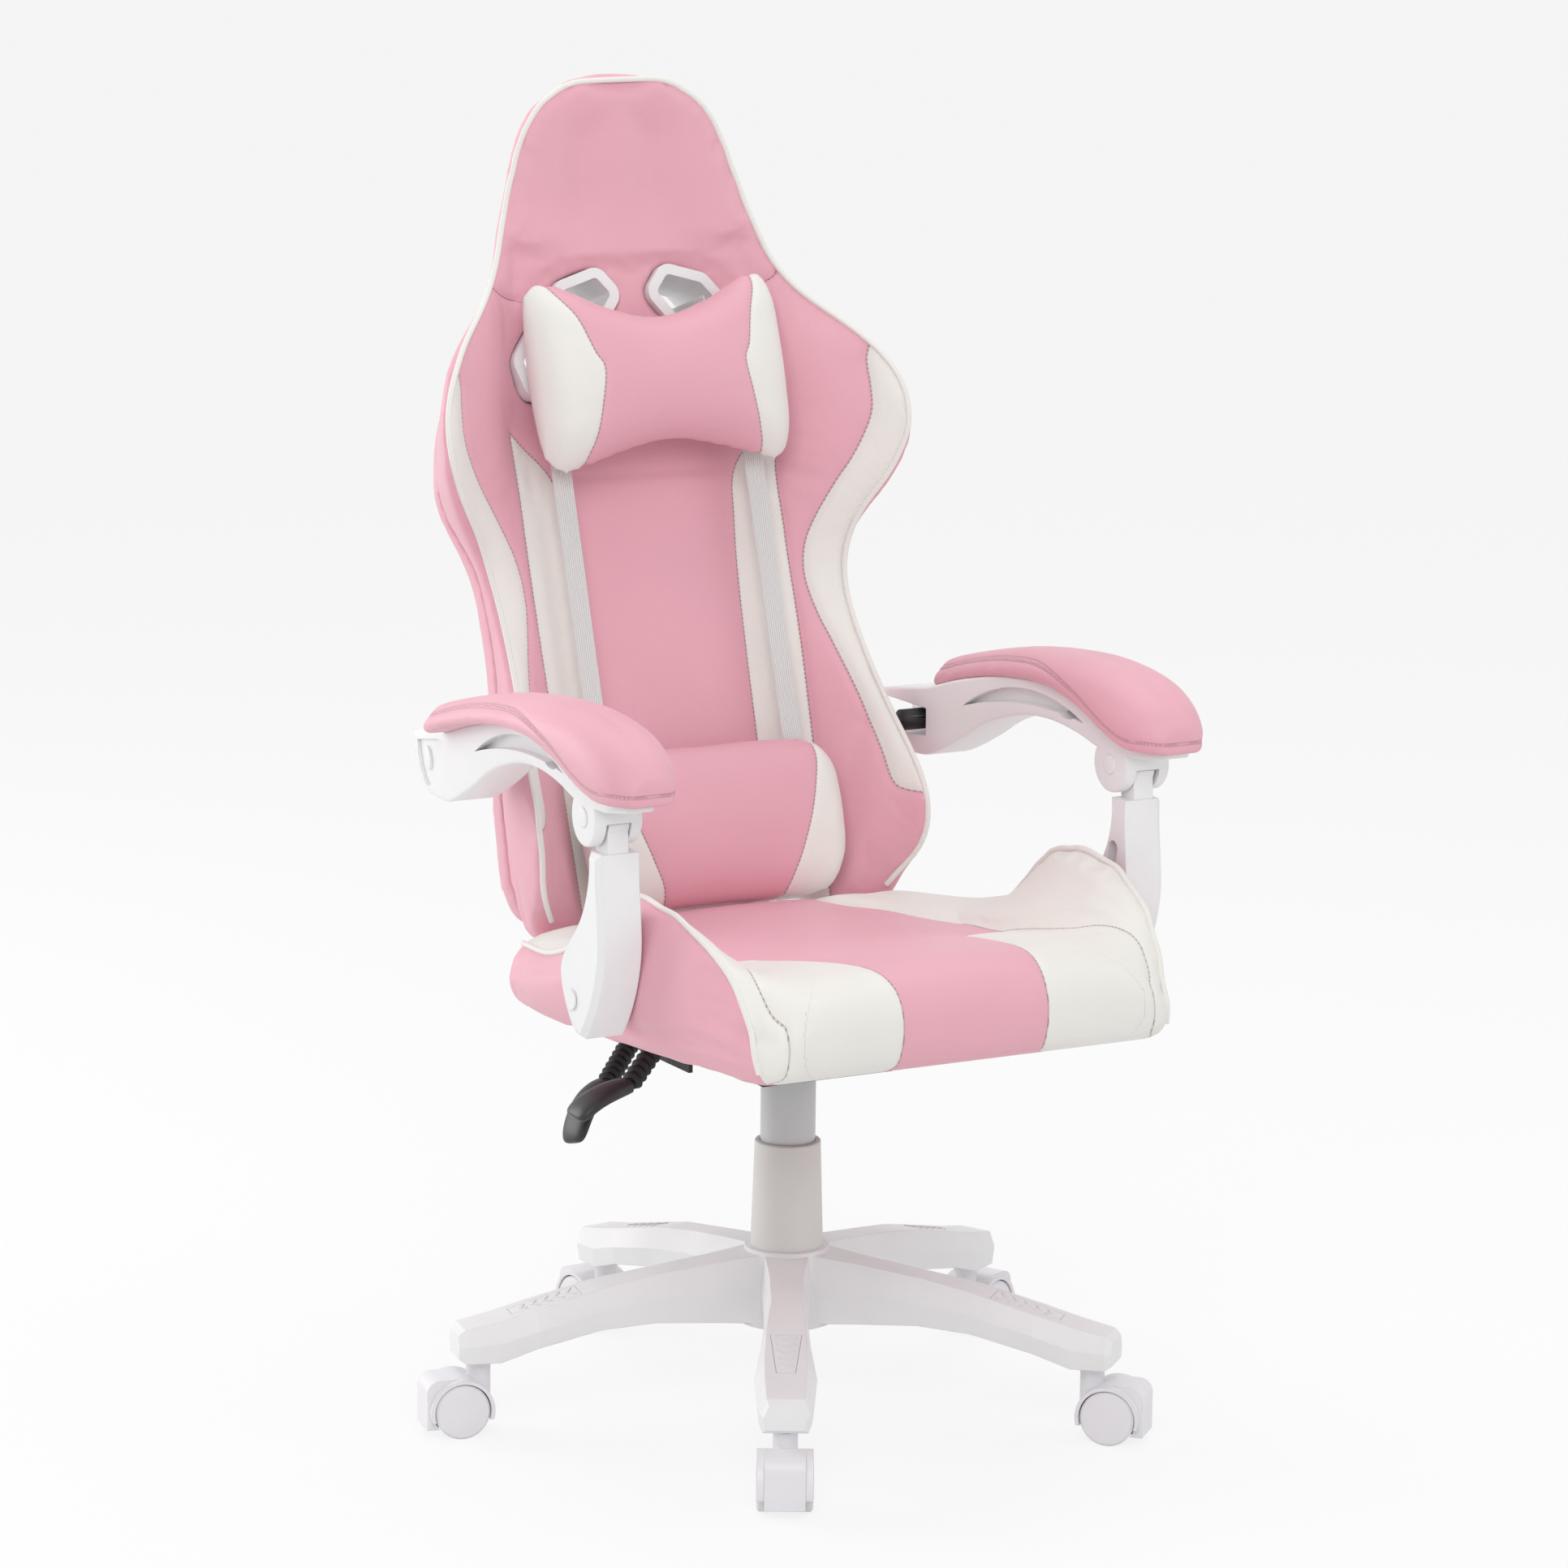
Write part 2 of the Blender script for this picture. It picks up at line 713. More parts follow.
stripe_inner = rounded([(76, -30), (80, 129), (83, 265), (88, 336), (97, 386), (140, 428)])
shoulder_seam = rounded([(152, 566), (144, 556), (132, 550), (122, 548)])
hollow_depth = [
    # place up the back, depth of the hollow between the wings
    (-24, 19), (60, 23), (385, 24), (455, 12), (520, 0), (760, 0),
]
hollow_flat_x = 104
hollow_fade_d, hollow_fade = (-28, -6), (0.4, 1.0)
side_taper = [
    # place up the back, how far the sides draw in for each millimetre behind the rim
    (-24, 0.08), (60, 0.10), (260, 0.13), (340, 0.24), (405, 0.34), (470, 0.42), (560, 0.48), (620, 0.5),
    (760, 0.5),
]
taper_start, taper_ease = 0.66, 0.28
side_ease = 0.5
head_rim = rounded([(0, 727), (34, 726), (54, 718), (67, 701), (73, 650), (84, 606), (100, 578), (104, 560)])
head_dish = 8
head_slope = 40
dish_start, dish_ease = 570, 90
foot_drop = 12
foot_top, foot_ease = 12, 36
foot_inner_x, foot_side_ease = 105, 25
foot_depth = 20
rear_normal, rear_depth = -0.35, -33
rim_slope, rim_margin = 0.35, 0.8
far_off = 20
print("back:", len(back_edge), "places on the rim, hollow", max(column(hollow_depth, 1)), "mm deep")

# %% Shape of the back


def sink_back(places):
    """Sink the middle of the back between its wings, dish the head and lower the wings' feet."""
    edge_x = np.interp(places[:, 1], column(back_edge, 1), column(back_edge, 0))
    depth = np.interp(places[:, 1], column(hollow_depth, 0), column(hollow_depth, 1))
    inward = (edge_x - np.abs(places[:, 0])) / np.maximum(edge_x - hollow_flat_x, 1)
    front = np.interp(places[:, 2], hollow_fade_d, hollow_fade)
    flat_place = np.stack((np.abs(places[:, 0]), places[:, 1]), 1)
    dish, _ = polygon_field(flat_place, head_rim + [(0, 560)])
    fade = soft_step((places[:, 1] - dish_start) / dish_ease)
    foot = soft_step((foot_top - places[:, 1]) / foot_ease)
    foot *= soft_step((np.abs(places[:, 0]) - foot_inner_x) / foot_side_ease)
    sunk = places.copy()
    sunk[:, 1] -= foot_drop * foot * np.interp(places[:, 2], (0, foot_depth), (1, 0))
    sunk[:, 2] -= depth * soft_step(inward) * front
    sunk[:, 2] -= head_dish * soft_step(dish / head_slope) * fade * np.where(places[:, 2] > 0, 1, 0)
    return sunk


def draw_in(places, share=1.0):
    """Narrow the back behind its rim, most at the head, so that its sides run in towards the rear."""
    rim = np.array(back_edge, float)
    edge_x = np.interp(places[:, 1], rim[:, 1], rim[:, 0])
    behind = np.maximum(np.interp(places[:, 1], rim[:, 1], rim[:, 2]) - places[:, 2], 0)
    taper = np.interp(places[:, 1], column(side_taper, 0), column(side_taper, 1))
    outer = soft_step((np.abs(places[:, 0]) / edge_x - taper_start) / taper_ease)
    narrowed = places.copy()
    narrowed[:, 0] -= np.sign(places[:, 0]) * taper * behind * outer * share
    return narrowed


def on_surface(piece, places, lift=0.0):
    """Drop hand-placed points onto a cover and lift them off it a little."""
    dropped = []
    for place in places:
        _, spot, normal, _ = piece.closest_point_on_mesh(Vector(place))
        dropped.append(spot + normal * lift)
    return dropped


def faces_back(piece, places):
    """Where the cover has turned round to the rear."""
    return (normals_of(piece) @ back_out < rear_normal) | (places[:, 2] < rear_depth)


print("back: hollow, taper and rear ready")

# %% Panels of the back


def inside_rim(places, rim):
    """How far each place is inside the piping's line, which runs along the dropped rim."""
    edge_x = np.interp(places[:, 1], rim[:, 1], rim[:, 0])
    edge_d = np.interp(places[:, 1], rim[:, 1], rim[:, 2])
    return edge_x - np.abs(places[:, 0]) + rim_slope * (places[:, 2] - edge_d) + rim_margin


def nearest_seam(fields, inside):
    """The nearest of several sewn lines, as a distance and the run along it."""
    seams = np.stack([distance for distance, _ in fields], 1)
    runs = np.stack([run for _, run in fields], 1)
    nearest = np.argmin(np.abs(seams), 1)
    row = np.arange(len(seams))
    return np.where(inside < 0, far_off, seams[row, nearest]), runs[row, nearest]


def back_panels(piece):
    """Distance inside the white panels, to the nearest sewn line, and along that line, in millimetres."""
    places = to_back(points_of(piece))
    flat_place = np.stack((np.abs(places[:, 0]), places[:, 1]), 1)
    band = polygon_field(flat_place, band_edge + [(300, 53), (300, 487)])
    stripe = polygon_field(flat_place, stripe_outer + stripe_inner[:-1])
    shoulder = line_field(flat_place, shoulder_seam)
    rim = to_back(np.array(on_surface(piece, from_back(rounded(back_edge, 3)))))
    inside = inside_rim(places, rim[np.argsort(rim[:, 1])])
    inside = np.where(faces_back(piece, places), -far_off, inside)
    white = np.minimum(np.maximum(band[0], stripe[0]), inside)
    return white, *nearest_seam((band, stripe, shoulder), inside)


def sew(piece, panels, depth=1.6, reach=3.2):
    """Store the panels and draw the skin in along its seams."""
    white, seam, run = panels
    paint(piece, "white", white * MM)
    paint(piece, "seam", seam * MM)
    paint(piece, "run", run * MM)
    pull = depth * MM * np.exp(-(seam / reach) ** 2)
    move_points(piece, points_of(piece) - normals_of(piece) * pull[:, None])


print("back: panels ready to paint")


# %% Sew the back's cover
sewn_width = 4
swell = 5 * MM
back_cover = from_nodes("back_cover", ["back_cushion", "back_head", "back_wing_left", "back_wing_right"])
remesh(back_cover, cover_cell)
smooth(back_cover, 4)
move_points(back_cover, from_back(sink_back(to_back(points_of(back_cover)))))
places = to_back(points_of(back_cover))
normals = normals_of(back_cover)
turned_out = np.maximum(normals[:, 0] * np.sign(places[:, 0]), -normals @ back_out)
move_points(back_cover, from_back(draw_in(places, soft_step(turned_out / side_ease))))
smooth(back_cover, 4)
_, seam, _ = back_panels(back_cover)
puff(back_cover, (np.abs(seam) < sewn_width) | faces_back(back_cover, to_back(points_of(back_cover))), swell)
subdivide(back_cover)
sew(back_cover, back_panels(back_cover))
dress(back_cover, panel_leather, "back", "pink_leather", "back_cushion", "back_head", "back_wing_left",
      "back_wing_right")

# %% Piping round the back
piping_radius = 2.7 * MM
piping_lift = 1.0 * MM
right_edge = rounded(back_edge, 3)
left_edge = [np.array((-p[0], p[1], p[2])) for p in reversed(right_edge)]
edge_line = from_back(np.array(right_edge + left_edge))
back_piping = pipe("back_piping", on_surface(back_cover, edge_line, piping_lift), piping_radius)
dress(back_piping, piping_leather, "back", "pink_leather")

# %% [markdown]
# ## The back's rear
# The shell behind the foam is a tray wrapped in the same leather. Only its outside shows, so its rear face
# is copied and carried forward to the foam, which keeps the two slots open.

# %% Rear cover
shell_depth = 36 * MM
rear_face_slack = 0.5
rear_sewn_d = -50
rear_swell = 3 * MM
shell = from_nodes("shell_copy", ["back_shell"])
heights = to_back(points_of(shell))[:, 2]
behind = heights < heights.min() + rear_face_slack
faces = [tuple(f.vertices) for f in shell.data.polygons if all(behind[v] for v in f.vertices)]
mesh = bpy.data.meshes.new("rear_cover")
mesh.from_pydata([tuple(p) for p in points_of(shell)], [], faces)
bpy.data.objects.remove(shell)
rear_cover = bpy.data.objects.new("rear_cover", mesh)
bpy.context.scene.collection.objects.link(rear_cover)
only(rear_cover)
bpy.ops.object.mode_set(mode="EDIT")
bpy.ops.mesh.select_all(action="SELECT")
bpy.ops.mesh.delete_loose()
bpy.ops.mesh.select_all(action="SELECT")
bpy.ops.mesh.extrude_region_move(TRANSFORM_OT_translate={"value": tuple(back_out * shell_depth)})
bpy.ops.object.mode_set(mode="OBJECT")
outwards(rear_cover)
remesh(rear_cover, cover_cell)
move_points(rear_cover, from_back(draw_in(to_back(points_of(rear_cover)))))
smooth(rear_cover, 5)
heights = to_back(points_of(rear_cover))[:, 2]
puff(rear_cover, heights > rear_sewn_d, rear_swell)
subdivide(rear_cover)
dress(rear_cover, pink_leather, "back", "pink_leather", "back_shell")

# %% [markdown]
# ## Steel inside the back
# The frame's side lugs and the arms' rear pins end inside the foam on the real chair. Copies of both are
# drawn back under the cover's surface, where the foam hides them.

# %% Lugs and rear pins
lug_reach = 14
pin_inner_x = 188
pin_outer_x = 252
frame_copy = from_nodes("back_frame_tubes", ["back_frame"])
places = to_back(points_of(frame_copy))
places[:, 2] = np.minimum(places[:, 2], lug_reach)
move_points(frame_copy, from_back(draw_in(places)))
blocky(frame_copy)
dress(frame_copy, finishes["black_steel"], "back", "black_steel", "back_frame")
pins_copy = from_nodes("arm_rear_pivots", ["arm_rear_pins"])
points = points_of(pins_copy)
points[:, 0] = np.sign(points[:, 0]) * np.clip(np.abs(points[:, 0]), pin_inner_x * MM, pin_outer_x * MM)
move_points(pins_copy, points)
blocky(pins_copy)
dress(pins_copy, finishes["black_steel"], "back", "steel", "arm_rear_pins")

# %% [markdown]
# ## The seat's cover
# The seat is sewn the same way: a pink centre that runs over a full, round front, white wings inside, white
# front corners, and pink sides under a white piping. Its skin is stretched over sections from the rear to
# the nose.

# %% Seat frame of reference
seat_tilt = radians(3.2)
seat_foot = np.array((0, 0, 0.3805))
seat_back = np.array((0, cos(seat_tilt), -sin(seat_tilt)))
seat_up = np.array((0, sin(seat_tilt), cos(seat_tilt)))


def to_seat(points):
    """Sideways, along the seat towards the rear and up off its underside, in millimetres."""
    rest = points - seat_foot
    return np.stack((rest[:, 0], rest @ seat_back, rest @ seat_up), 1) / MM


def from_seat(points):
    points = np.asarray(points, float) * MM
    return seat_foot + points[:, :1] * (1, 0, 0) + points[:, 1:2] * seat_back + points[:, 2:] * seat_up


print("seat's foot at", seat_foot)

# %% Sections and lines of the seat
seat_seam_x = 150
seat_crown = 5
seat_thickness = 64
under_normal, rear_wall_normal = -0.97, 0.6
front_rim_along = -215
side_tuck = 14
seat_stations = [
    # along the seat, underside, centre height, ridge x, ridge height, widest x
    (124, -1, 63, 208, 55, 224), (60, -1, 63, 221, 60, 236), (20, -1, 63, 227, 67, 239),
    (-17, -1, 62, 227, 82, 240), (-55, -1, 62, 222, 110, 240), (-88, -1, 62, 220, 131, 240),
    (-120, -1, 63, 219, 141, 240), (-175, -1, 69, 221, 140, 238),
    (-215, -2, 73, 219, 132, 233), (-258, -4, 76, 216, 110, 225), (-290, -7, 75, 211, 76, 216),
    (-308, -7, 70, 205, 40, 207), (-320, -2, 63, 199, 24, 201), (-328, 10, 54, 189, 26, 191),
    (-333, 26, 42, 172, 35, 174),
]
seat_edge = [
    # half width, place along the seat, height of the rim, from the rear to the front's foot
    (208, 120, 55), (221, 60, 60), (227, 20, 67), (227, -17, 82), (222, -55, 110), (220, -88, 131),
    (219, -120, 141), (221, -175, 140), (219, -215, 132), (216, -258, 110), (211, -290, 76), (206, -305, 42),
    (202, -313, 6),
]
wing_edge = rounded([
    (88, 130), (102, 69), (120, 38), (130, 1), (141, -34), (150, -58), (152, -98), (153, -120),
])
corner_outer = rounded([
    (105, -130), (130, -116), (153, -120), (160, -155), (163, -187), (168, -217), (177, -240), (184, -266),
    (188, -281), (190, -296), (188, -311), (182, -322),
])
corner_inner = rounded([(72, -345), (72, -328), (75, -305), (82, -263), (93, -206), (103, -160), (105, -130)])
past_wing = 13
print("seat:", len(seat_stations), "sections,", len(seat_edge), "places on each rim")

# %% Shape and panels of the seat


def seat_ring(row):
    """One section of the seat, all the way round."""
    along, under, height, ridge_x, ridge_w, widest = row
    belly = (widest, under + (ridge_w - under) * 0.45)
    hollow = (seat_seam_x + (ridge_x - seat_seam_x) * 0.55, height + (ridge_w - height) * 0.32 + 2)
    foot, ridge, sewn_at = (widest - side_tuck, under), (ridge_x, ridge_w), (seat_seam_x, height)
    crown = height + seat_crown * (height - under) / seat_thickness
    half = straight((0, under), foot, 8) + arc(foot, belly, ridge) + arc(ridge, hollow, sewn_at)
    half += arc(sewn_at, (seat_seam_x / 2, height + 0.75 * (crown - height)), (0, crown))
    return from_seat(np.array([(x, along, w) for x, w in mirrored_ring(half, (0, crown))]))


def seat_panels(piece):
    """Distance inside the white panels, to the nearest sewn line, and along that line, in millimetres."""
    places = to_seat(points_of(piece))
    flat_place = np.stack((np.abs(places[:, 0]), places[:, 1]), 1)
    wing = polygon_field(
        flat_place, wing_edge + corner_outer[past_wing:] + [(182, -400), (300, -400), (300, 130)])
    corner = polygon_field(flat_place, corner_outer + [(182, -345)] + corner_inner[:-1])
    rim = to_seat(np.array(on_surface(piece, from_seat(rounded(seat_edge, 3)))))
    rim = rim[np.argsort(rim[:, 1])]
    inside = inside_rim(places, rim)
    front = rim[rim[:, 1] < front_rim_along]
    front = front[np.argsort(front[:, 2])]
    ahead = np.interp(places[:, 2], front[:, 2], front[:, 1]) - places[:, 1] + rim_margin
    inside = np.where(places[:, 1] < front_rim_along, np.maximum(inside, ahead), inside)
    normals = normals_of(piece)
    hidden = (normals @ seat_up < under_normal) | (normals @ seat_back > rear_wall_normal)
    inside = np.where(hidden, -far_off, inside)
    return np.minimum(np.maximum(wing[0], corner[0]), inside), *nearest_seam((wing, corner), inside)


print("seat: sections and panels ready")


# %% Sew the seat's cover
stapled_height = 8
seat_cover = skin("seat_cover", [seat_ring(row) for row in rounded(seat_stations, 3)])
remesh(seat_cover, cover_cell)
smooth(seat_cover, 5)
_, seam, _ = seat_panels(seat_cover)
puff(seat_cover, (np.abs(seam) < sewn_width) | (to_seat(points_of(seat_cover))[:, 2] < stapled_height), swell)
subdivide(seat_cover)
sew(seat_cover, seat_panels(seat_cover))
dress(seat_cover, panel_leather, "seat", "pink_leather", "seat_cushion", "seat_wing_left", "seat_wing_right")

# %% Piping on the seat's rims
for side, word in ((1, "left"), (-1, "right")):
    rim = from_seat(np.array([(side * p[0], p[1], p[2]) for p in rounded(seat_edge, 3)]))
    seat_piping = pipe(f"seat_piping_{word}", on_surface(seat_cover, rim, piping_lift), piping_radius)
    dress(seat_piping, piping_leather, "seat", "pink_leather")

# %% [markdown]
# ## Pillows
# Two stuffed pillows hang on elastic straps. Each has a pink middle and white ends, sewn on a line that
# bows in. A section through a pillow is a shallow rear, two sewn edges and a full front.

# %% Pillows
pillow_cell = 4.5 * MM
pillow_swell = 6 * MM
pillow_sewn_width = 3
rear_percent = 12
head_seam = rounded([
    (108, 590), (105, 552), (90, 520), (80, 487), (73, 470), (79, 435), (85, 408), (91, 388), (97, 350),
])
lumbar_seam = rounded([(122, 150), (113, 117), (103, 88), (90, 51), (76, 15), (66, -10), (58, -45)])
head_stations = [
    # sideways place, lower and upper edge, rear and front reach, from the middle to the end
    (0, 404, 521, 8, 72), (50, 396, 533, 8, 72), (88, 384, 552, 8, 68), (115, 381, 560, 9, 56),
    (129, 398, 546, 17, 38),
]
lumbar_stations = [
    (0, -26, 126, -16, 49), (60, -26, 126, -16, 49), (112, -21, 121, -13, 46), (131, 6, 102, 6, 32),
]


def pillow_ring(row):
    """One section of a pillow, in the plane that runs up the back."""
    x, low, high, rear, front = row
    middle, tall, deep = (low + high) / 2, high - low, front - rear
    edge, turn_d, corner_d = rear + 0.45 * deep, front - 0.06 * deep, front - 0.25 * deep
    turn, corner = 0.28 * tall, 0.09 * tall
    ring = arc((low, edge), (middle, rear), (high, edge), 12)
    ring += arc((high, edge), (high - corner, corner_d), (high - turn, turn_d), 6)
    ring += arc((high - turn, turn_d), (middle, front), (low + turn, turn_d), 10)
    ring += arc((low + turn, turn_d), (low + corner, corner_d), (low, edge), 6)
    return from_back(np.array([(x, s, d) for s, d in ring]))


def pillow_panels(piece, end_seam):
    """The white ends, whose sewn line is also the nearest seam."""
    places = to_back(points_of(piece))
    end, run = line_field(np.stack((np.abs(places[:, 0]), places[:, 1]), 1), end_seam)
    return end, end, run


pillows = [
    # name, node that it stands for, half sections, seam of its ends
    ("head_pillow_cover", "head_pillow", head_stations, head_seam),
    ("lumbar_pillow_cover", "lumbar_pillow", lumbar_stations, lumbar_seam),
]
for name, node, half_rows, end_seam in pillows:
    rows = [(-row[0], *row[1:]) for row in reversed(half_rows[1:])] + half_rows
    pillow = skin(name, [pillow_ring(row) for row in rounded(rows, 4)])
    remesh(pillow, pillow_cell)
    smooth(pillow, 5)
    end, _, _ = pillow_panels(pillow, end_seam)
    heights = to_back(points_of(pillow))[:, 2]
    sewn = (np.abs(end) < pillow_sewn_width) | (heights < np.percentile(heights, rear_percent))
    puff(pillow, sewn, pillow_swell)
    subdivide(pillow)
    sew(pillow, pillow_panels(pillow, end_seam), 1.6, 3.0)
    dress(pillow, panel_leather, "back", "pink_leather", node)

# %% [markdown]
# ## Elastic straps
# The lumbar pillow's two straps run up the front, through the slots and across behind the shell, and the
# head pillow's strap goes straight through both slots. Webbing is a flat band, so a flat section follows
# each route.

# %% Straps
strap_width = 20
strap_thick = 1.8
rib_pitch = 0.0022
weave_pitch = 0.0013
band_section = [
    # share of the width, share of half the thickness
    (-0.5, 0.4), (-0.42, 1), (0, 1), (0.42, 1), (0.5, 0.4), (0.5, -0.4), (0.42, -1), (0, -1), (-0.42, -1),
    (-0.5, -0.4),
]


def webbing(name):
    """Elastic webbing: fine ribs along the band and a tight weave across it."""
    material, nodes, links, shader = new_material(name, webbing_white, 0.78, Sheen_Weight=0.2)
    across = reckon(nodes, links, "MULTIPLY", painted(nodes, "across"), tau / rib_pitch)
    along = reckon(nodes, links, "MULTIPLY", painted(nodes, "along"), tau / weave_pitch)
    ribs = reckon(nodes, links, "SINE", across)
    weave = reckon(nodes, links, "SINE", along)
    height = reckon(nodes, links, "MULTIPLY_ADD", weave, 0.35, ribs)
    shade = mixed(nodes, links, between(nodes, links, height, -1.2, 0.6), (0.66, 0.655, 0.65, 1),
                  (0.87, 0.865, 0.86, 1))
    links.new(shade, shader.inputs["Base Color"])
    links.new(bump(nodes, links, height, 0.0004, 0.8), shader.inputs["Normal"])
    return material


def flat_band(name, route, wide):
    """A flat band along a route in the back's millimetres, with its width along one direction."""
    route = [np.array(p, float) for p in route]
    wide = np.array(wide, float)
    rings, along, across = [], [], []
    for i, place in enumerate(route):
        ahead = route[min(i + 1, len(route) - 1)] - route[max(i - 1, 0)]
        off = np.cross(ahead, wide)
        off *= strap_thick / 2 / np.linalg.norm(off)
        rings.append(from_back(np.array([place + wide * strap_width * u + off * v for u, v in band_section])))
        length = along[-1] + np.linalg.norm(place - route[i - 1]) if i else 0.0
        along += [length] * len(band_section)
        across += [strap_width * u for u, v in band_section]
    piece = skin(name, rings)
    paint(piece, "along", np.array(along) * MM)
    paint(piece, "across", np.array(across) * MM)
    return piece


def joined(name, pieces):
    """Several meshes as one object."""
    only(pieces[0])
    for piece in pieces:
        piece.select_set(True)
    bpy.ops.object.join()
    pieces[0].name = name
    return pieces[0]


strap_webbing = webbing("strap_webbing")
strap_x, strap_turn_s, strap_front_d, strap_rear_d = 100, 480, 6.3, -67.5
head_strap_s, head_strap_x = 530, 64
lumbar_bands = []
for side in (-1, 1):
    x = side * strap_x
    lumbar_bands.append(flat_band("lumbar_band", [
        (x, 96, 9), (x, 150, 7), (x, 230, strap_front_d), (x, 320, strap_front_d), (x, 400, strap_front_d),
        (x, 460, strap_front_d), (x, 473, 5), (x, 479, -2), (x, strap_turn_s, -14), (x, strap_turn_s, -40),
        (x, 479, -60), (x, 475, -65.5), (x, 468, strap_rear_d)], (1, 0, 0)))
cross_x = (-strap_x - 10, -60, -20, 20, 60, strap_x + 10)
cross_route = [(x, strap_turn_s - 10, strap_rear_d) for x in cross_x]
lumbar_bands.append(flat_band("lumbar_cross", cross_route, (0, 1, 0)))
dress(joined("lumbar_webbing", lumbar_bands), strap_webbing, "back", "elastic_strap", "lumbar_straps")
head_band = flat_band("head_webbing", [
    (-head_strap_x, head_strap_s, 20), (-head_strap_x, head_strap_s, -10), (-head_strap_x, head_strap_s, -58),
    (-60, head_strap_s, -66), (-50, head_strap_s, strap_rear_d), (0, head_strap_s, strap_rear_d),
    (50, head_strap_s, strap_rear_d), (60, head_strap_s, -66), (head_strap_x, head_strap_s, -58),
    (head_strap_x, head_strap_s, -10), (head_strap_x, head_strap_s, 20)], (0, 1, 0))
dress(head_band, strap_webbing, "back", "elastic_strap", "head_strap")

# %% [markdown]
# ## Arms
# Each upper arm is one plastic moulding with a forked elbow, a long sunk lens on both sides, a small
# window, and a hollow rear end for the pin on the back. It is cut as a board would be: saw the outline,
# round its edges, then cut the recesses and join the barrel.

# %% Arm outlines
elbow = np.array((-150.0, 602.0))
rear_pin = np.array((166.0, 590.0))
arm_mid_x = 264
arm_half_width = 23
knuckle_half_width = 12
barrel_radius = 25.5
knuckle_room = 23.9
arm_toe_in = 19
rear_reach = 340


def from_elbow(*places):
    return [elbow + np.array(p, float) for p in places]


def from_rear(*places):
    return [rear_pin + np.array(p, float) for p in places]


arm_top = rounded(from_rear((62, 20), (34, 25), (-16, 33)) + from_elbow(
    (240, 38), (170, 52), (100, 57), (40, 47), (-10, 28), (-40, 21), (-70, 22)), 5)
nose_under = from_elbow((-69, 15), (-40, 11), (-18, 10))
arm_under = rounded(from_elbow((24, 12), (59, 20), (100, 24), (144, 20), (198, 4), (245, -21)) + from_rear(
    (-20, -31), (24, -32)), 5)
rear_round = arc(arm_under[-1], from_rear((55, -12))[0], arm_top[0], 10)[1:]
arm_outline = arm_top + nose_under + arm_under + rear_round
lens_ends = from_elbow((236, 14), (42, 30))
lens_middles = from_elbow((140, 46), (125, 33))
lens = arc(lens_ends[0], lens_middles[0], lens_ends[1], 20)
lens += arc(lens_ends[1], lens_middles[1], lens_ends[0], 20)
tail_pocket = rounded(from_rear((2, 22), (6, 2), (20, -22), (32, -24), (46, -8), (53, 13)), 4)
rear_cavity = from_rear((-19, -13), (-19, 13), (74, 15), (74, -20))
lens_depth = 9
pocket_depth = 3
nose_start, nose_length = -28, 48
print("arm outline:", len(arm_outline), "points")

# %% Arm helpers


def disc(middle, radius, count=48):
    return [middle + radius * np.array((cos(tau * i / count), sin(tau * i / count))) for i in range(count)]


def oval(middle, long, short, lean, count=32):
    turn = np.array(((cos(lean), -sin(lean)), (sin(lean), cos(lean))))
    return [middle + turn @ (long * cos(tau * i / count), short * sin(tau * i / count)) for i in range(count)]


def soft_edges(piece, width):
    modify(piece, "BEVEL", width=width * MM, segments=3, limit_method="ANGLE", angle_limit=radians(40))


def arm_block(name, outline, inner, outer, side):
    """A block between two distances from the arm's middle, counted outwards from the chair."""
    return block(name, outline, side * (arm_mid_x + inner), side * (arm_mid_x + outer))


def cut(arm, side, outline, inner, outer):
    """Cut an outline out of an arm between two distances from its middle."""
    combine(arm, arm_block("cut", outline, inner, outer, side), "DIFFERENCE")


def join_on(arm, side, outline, inner, outer, edge):
    """Join an outline to an arm, with its edges softened first."""
    added = arm_block("added", outline, inner, outer, side)
    soft_edges(added, edge)
    combine(arm, added, "UNION")


def shape_arm(piece, side):
    """Draw the arm's rear end in towards the back, and round its nose as seen from above."""
    points = points_of(piece)
    behind = points[:, 1] / MM - elbow[0]
    past = np.clip((nose_start - behind) / nose_length, 0, 1)
    off_middle = points[:, 0] / MM - side * arm_mid_x
    narrow = np.sqrt(1 - past ** 2) * off_middle
    points[:, 0] = (side * arm_mid_x + narrow - side * arm_toe_in * behind / rear_reach) * MM
    move_points(piece, points)


print("arm helpers ready")

